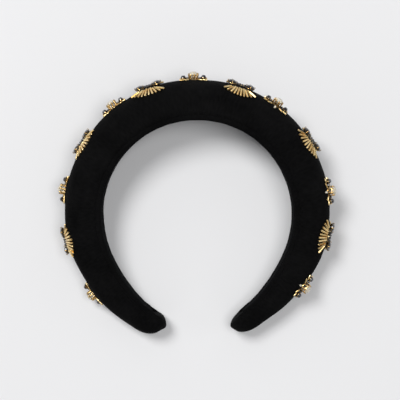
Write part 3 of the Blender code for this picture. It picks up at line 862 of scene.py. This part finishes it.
def raySpot(spot, index, side, number):
    share = (2.0 * index + 1.0) / sunburst["rays"] - 1.0
    play = sunburst["rayPlay"] * math.sin(12.9898 * index + 4.1 * side + 2.3 * number)
    root = (sunburst["rootHalf"] * share, side * (sunburst["rootOut"] + sunburst["rootFlare"] * abs(share)),
            sunburst["rootLift"] + sunburst["rootStep"] * (index % 2))
    wide, far = (1.0, 1.0) if side > 0 else sunburst["lowerShare"]
    reach = far * sunburst["tipOut"] * math.sqrt(1.0 - (sunburst["tipRound"] * share) ** 2)
    tip = (wide * sunburst["tipHalf"] * share + play, side * (reach + 0.8 * play), sunburst["tipLift"])
    return beadBetween(spot, root, tip, 6.0)


def makeSunburst(number, spot, shapes):
    label = f"sunburst{number}"
    node = f"sunburst_{number}_"
    backing = backingMesh(label + "Backing", spot, *sunburst["backing"], sunburst["backingThickness"])
    finishPiece(backing, finishes["felt"], "velvet")
    rays = [raySpot(spot, i, side, number) for side in (-1.0, 1.0) for i in range(sunburst["rays"])]
    bugles = sewBeads(label + "Bugles", rays, shapes["bugle"], finishes["bugle"], 0.03, number)
    finishPiece(bugles, finishes["bugle"], "gold_bead", node + "bugles")
    seat = motifFrame(spot)
    cups, stones = [], []
    for side in (-1.0, 1.0):
        lean = Matrix.Rotation(side * math.radians(sunburst["cupLean"]), 4, "Y")
        foot = Vector((side * sunburst["stoneOffset"], 0.0, sunburst["cupBase"])) * mm
        base = Matrix.Translation(foot) @ lean
        cups.append((shapes["cup"], seat @ base))
        up = Matrix.Translation(Vector((0.0, 0.0, sunburst["cupHeight"] + sunburst["stoneRise"])) * mm)
        stones.append((shapes["stone"], seat @ base @ up @ Matrix.Rotation(0.3 * side + number, 4, "Z")))
    cupPiece = joinMeshes(label + "Settings", cups)
    shade(cupPiece, 50.0)
    finishPiece(cupPiece, finishes["setting"], "gold_setting", node + "setting")
    stonePiece = joinMeshes(label + "Jets", stones)
    finishPiece(stonePiece, finishes["jet"], "jet", node + "stone_a", node + "stone_b")
    spots = []
    for i in range(sunburst["beads"]):
        u = (i - (sunburst["beads"] - 1) / 2.0) * sunburst["beadPitch"]
        at = seat @ (Vector((u, 0.12 * math.sin(5.0 * i + number), sunburst["beadLift"])) * mm)
        spots.append((at, seat.to_3x3() @ Vector((1.0, 0.1 * math.sin(9.0 * i), 0.0)), 1.0))
    beads = sewBeads(label + "BlackBeads", spots, shapes["bead"], finishes["jet"], 0.05, number)
    finishPiece(beads, finishes["jet"], "jet")


def makeSunbursts():
    shapes = {
        "bugle": bugleShape(6.0, sunburst["rayRadius"]),
        "bead": roundBeadShape(sunburst["beadRadius"]),
        "cup": clawCup(sunburst["stoneRadius"], sunburst["cupHeight"], sunburst["clawHeight"], 4, 0.0),
        "stone": stoneShape("jetStone", sunburst["stoneRadius"], 0.36, 0.62, sunburst["stoneGirdle"]),
    }
    for number, place in enumerate(sunburst["places"], start=1):
        makeSunburst(number, spotAt(*place), shapes)
    for key in ("bugle", "bead"):
        bpy.data.objects.remove(shapes[key])


makeSunbursts()
print("sunbursts sewn on")

# small clusters
cluster = {
    "places": ((-127.1, -0.8, 0.0), (-78.8, 0.6, 0.0), (-37.4, 4.0, 0.0), (-1.6, 5.4, 0.0),
               (35.0, 7.1, 0.0), (79.1, 6.0, 0.0), (123.5, 5.4, 0.0)),
    "crystalRadius": 2.75, "basketHeight": 3.1, "basketBase": 0.45, "prongs": 8, "prongWidth": 0.5,
    "sideOffset": 6.0, "sideRadius": 1.6, "sideHeight": 1.05, "sideBase": 0.35,
    "inner": ((2.6, 2.2, 0.8), (5.4, 3.3, 0.75)), "outer": ((5.5, 2.0, 0.7), (8.3, 2.3, 0.65)),
    "bugleRadius": 0.5, "blackRadius": 0.85, "blackAt": (3.9, 1.2, 1.0),
    "paleRadius": 0.85, "paleAt": (4.3, 0.95), "nearPaleFrom": 5,
    "backing": (6.2, 3.2), "backingThickness": 0.45,
}


def basketMesh():
    # upright prongs between two rings, bent in over the crystal's edge
    radius = cluster["crystalRadius"]
    height = cluster["basketHeight"]
    half = cluster["prongWidth"]
    foot = (radius * 0.86, 0.0), (radius + 0.02, 0.0), (radius + 0.02, 0.45), (radius * 0.86, 0.45)
    lip = ((radius - 0.14, height - 0.5), (radius + 0.16, height - 0.5), (radius + 0.16, height - 0.18),
           (radius - 0.14, height - 0.18))
    rings = [(turnedMesh("ring", profile, 24, closed=True), Matrix.Identity(4)) for profile in (foot, lip)]
    basket = joinMeshes("basket", rings)
    route = [(radius, 0.1), (radius + 0.1, height * 0.35), (radius + 0.22, height * 0.75),
             (radius + 0.26, height + 0.1), (radius + 0.02, height + 0.5), (radius - 0.42, height + 0.68)]
    prong = prongShape(route, [half, half, half * 0.95, half * 0.85, half * 0.7, half * 0.4])
    growOn(basket, clawTree, {"Claw": prong, "Finish": finishes["setting"], "Count": cluster["prongs"],
                              "First turn": 0.2})
    mesh = basket.data
    bpy.data.objects.remove(basket)
    bpy.data.objects.remove(prong)
    return mesh


def makeCluster(number, spot, shapes):
    label = f"cluster{number}"
    node = f"cluster_{number}_"
    backing = backingMesh(label + "Backing", spot, *cluster["backing"], cluster["backingThickness"])
    finishPiece(backing, finishes["felt"], "velvet")
    seat = motifFrame(spot)
    base = cluster["basketBase"]
    cups = [(shapes["basket"], seat @ Matrix.Translation((0.0, 0.0, base * mm)))]
    sideStones = []
    for side in (-1.0, 1.0):
        lean = Matrix.Rotation(side * math.radians(4.0), 4, "Y")
        foot = Vector((side * cluster["sideOffset"], 0.0, cluster["sideBase"])) * mm
        low = seat @ Matrix.Translation(foot) @ lean
        cups.append((shapes["sideCup"], low))
        up = Matrix.Translation(Vector((0.0, 0.0, cluster["sideHeight"] + 0.12)) * mm)
        sideStones.append((shapes["sideStone"], low @ up))
    cupPiece = joinMeshes(label + "Settings", cups)
    shade(cupPiece, 50.0)
    finishPiece(cupPiece, finishes["setting"], "gold_setting", node + "base")
    up = Matrix.Translation(Vector((0.0, 0.0, base + cluster["basketHeight"] + 0.1)) * mm)
    turned = Matrix.Rotation(number, 4, "Z")
    crystal = joinMeshes(label + "Crystal", [(shapes["crystal"], seat @ up @ turned)])
    finishPiece(crystal, finishes["crystal"], "crystal", node + "crystal")
    stones = joinMeshes(label + "Jets", sideStones)
    finishPiece(stones, finishes["jet"], "jet", node + "stone_a", node + "stone_b")
    bugleSpots, blackSpots, paleSpots = [], [], []
    for side in (-1.0, 1.0):
        for wing in (-1.0, 1.0):
            for near, far in (cluster["inner"], cluster["outer"]):
                start = (side * near[0], wing * near[1], near[2])
                bugleSpots.append(beadBetween(spot, start, (side * far[0], wing * far[1], far[2]), 3.0))
            u, v, lift = cluster["blackAt"]
            point, out = motifPlace(spot, side * u, wing * v)
            blackSpots.append((point + out * lift * mm, seat.to_3x3() @ Vector((0.3, 1.0, 0.2 * side)), 1.0))
        if side > 0 and number < cluster["nearPaleFrom"]:
            continue
        v, lift = cluster["paleAt"]
        point, out = motifPlace(spot, 0.0, side * v)
        paleSpots.append((point + out * lift * mm, seat.to_3x3() @ Vector((1.0, 0.1, 0.0)), 1.0))
    bugles = sewBeads(label + "Bugles", bugleSpots, shapes["bugle"], finishes["bugle"], 0.04, number)
    finishPiece(bugles, finishes["bugle"], "gold_bead")
    blacks = sewBeads(label + "BlackBeads", blackSpots, shapes["blackBead"], finishes["jet"], 0.06, number)
    finishPiece(blacks, finishes["jet"], "jet")
    pales = sewBeads(label + "PaleBeads", paleSpots, shapes["paleBead"], finishes["crystal"], 0.05, number)
    finishPiece(pales, finishes["crystal"], "crystal")


def makeClusters():
    shapes = {
        "bugle": bugleShape(3.0, cluster["bugleRadius"]),
        "blackBead": roundBeadShape(cluster["blackRadius"]),
        "paleBead": roundBeadShape(cluster["paleRadius"]),
        "basket": basketMesh(),
        "sideCup": cupMesh(cluster["sideRadius"], cluster["sideHeight"]),
        "crystal": stoneShape("crystalStone", cluster["crystalRadius"], 0.5, 0.8),
        "sideStone": stoneShape("sideStone", cluster["sideRadius"], 0.85, 0.6, 0.3),
    }
    for number, place in enumerate(cluster["places"], start=1):
        makeCluster(number, spotAt(*place), shapes)
    for key in ("bugle", "blackBead", "paleBead"):
        bpy.data.objects.remove(shapes[key])


makeClusters()
print("clusters sewn on")

# stage, light and camera
stage = {
    "floorSize": 3.0, "floorColour": (0.725, 0.725, 0.732), "sky": (0.97, 0.975, 1.0), "skyStrength": 0.19,
    "keyPower": 64.0, "keySize": 1.3, "keyPlace": (-1.2, 1.2, 2.6),
    "overheadPower": 34.0, "overheadSize": 1.6, "overheadPlace": (0.7, 0.0, 2.8),
    "panelPower": 1.1, "panelSize": 0.8, "panelReach": 1.5, "panelHeight": 0.55,
    "panelTurns": (0.0, 60.0, 115.0, 180.0, 235.0, 305.0),
    "eye": (0.0016, 0.0021, 0.70), "lens": 101.2,
}


def makeFloor():
    half = stage["floorSize"] / 2.0
    mesh = bpy.data.meshes.new("floor")
    mesh.from_pydata([(-half, -half, 0.0), (half, -half, 0.0), (half, half, 0.0), (-half, half, 0.0)],
                     [], [(0, 1, 2, 3)])
    floor = newObject("floor", mesh)
    finish = newFinish("paleTable", stage["floorColour"], 0.75, {"Specular IOR Level": 0.25})
    tone = noiseOn(finish, 3.0, 2.0)
    low = tuple(c * 0.985 for c in stage["floorColour"])
    colourBetween(finish, tone.outputs["Fac"], low, stage["floorColour"])
    setFinish(floor, finish)


def makeLight(name, place, size, power):
    data = bpy.data.lights.new(name, "AREA")
    data.shape = "DISK"
    data.size = size
    data.energy = power
    light = bpy.data.objects.new(name, data)
    light.location = place
    light.rotation_euler = (-Vector(place)).to_track_quat("-Z", "Y").to_euler()
    bpy.context.scene.collection.objects.link(light)


def makePanels():
    # low panels round the table, for the gold and the stones to reflect
    for number, turn in enumerate(stage["panelTurns"], start=1):
        x = stage["panelReach"] * math.cos(math.radians(turn))
        y = stage["panelReach"] * math.sin(math.radians(turn))
        makeLight(f"panel{number}", (x, y, stage["panelHeight"]), stage["panelSize"], stage["panelPower"])


def makeWorld():
    world = bpy.data.worlds.new("softRoom")
    world.use_nodes = True
    world.node_tree.nodes["Background"].inputs["Color"].default_value = (*stage["sky"], 1.0)
    world.node_tree.nodes["Background"].inputs["Strength"].default_value = stage["skyStrength"]
    bpy.context.scene.world = world


def makeCamera():
    data = bpy.data.cameras.new("camera")
    data.lens = stage["lens"]
    data.sensor_width = 36.0
    camera = bpy.data.objects.new("camera", data)
    camera.location = stage["eye"]
    bpy.context.scene.collection.objects.link(camera)
    bpy.context.scene.camera = camera


makeFloor()
makeLight("key", stage["keyPlace"], stage["keySize"], stage["keyPower"])
makeLight("overhead", stage["overheadPlace"], stage["overheadSize"], stage["overheadPower"])
makePanels()
makeWorld()
makeCamera()
bpy.context.scene.view_settings.view_transform = "Standard"
print("stage and camera set")
